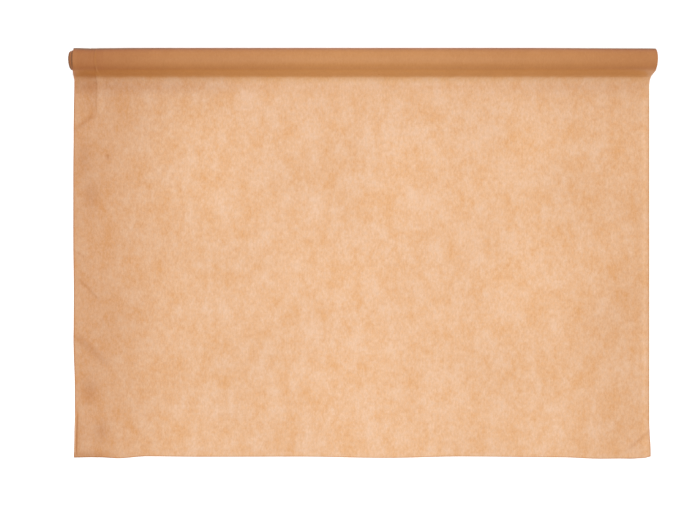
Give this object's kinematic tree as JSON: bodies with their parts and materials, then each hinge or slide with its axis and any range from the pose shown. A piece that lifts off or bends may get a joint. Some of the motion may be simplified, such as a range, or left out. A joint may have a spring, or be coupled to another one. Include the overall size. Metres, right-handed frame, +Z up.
{
  "type": "wrapping paper roll",
  "caption": "Roll of kraft gift-wrapping paper on a cardboard core, its end drawn off flat; the roll turns as the sheet is pulled out.",
  "frame": {"origin": "middle of the outline at table level: midway along the roll, midway between the sheet's free edge and the roll's back, on the plane that the sheet and roll rest on", "axes": "+X along the roll, +Y across the sheet from its free edge towards the roll, +Z up off the table"},
  "size_m": [0.7, 0.4944, 0.0298],
  "materials": {
    "paper": "matte",
    "core_board": "matte",
    "tape": "satin"
  },
  "bodies": {
    "web": {"outer_turn": "paper", "lead_off": "paper", "free_sheet": "paper"},
    "roll": {"core_inner_ply": "core_board", "core_middle_ply": "core_board", "core_outer_ply": "core_board", "start_tape": "tape", "inner_turns": "paper", "pleated_turns": "paper"},
    "sheet_end": {"leading_edge": "paper"}
  },
  "joints": [
    {"name": "roll_spin", "type": "hinge", "parent": "web", "child": "roll", "pos_m": [0, 0.23234, 0.01491], "axis": [1, 0, 0], "range_deg": [-760, 1900]},
    {"name": "sheet_draw", "type": "slide", "parent": "web", "child": "sheet_end", "axis": [0, -1, 0], "range_m": [-0.2, 0.5], "deforming": ["free_sheet"]}
  ],
  "couplings": [
    {"joint": "sheet_draw", "follows": "roll_spin", "m_per_rad": 0.01487}
  ]
}
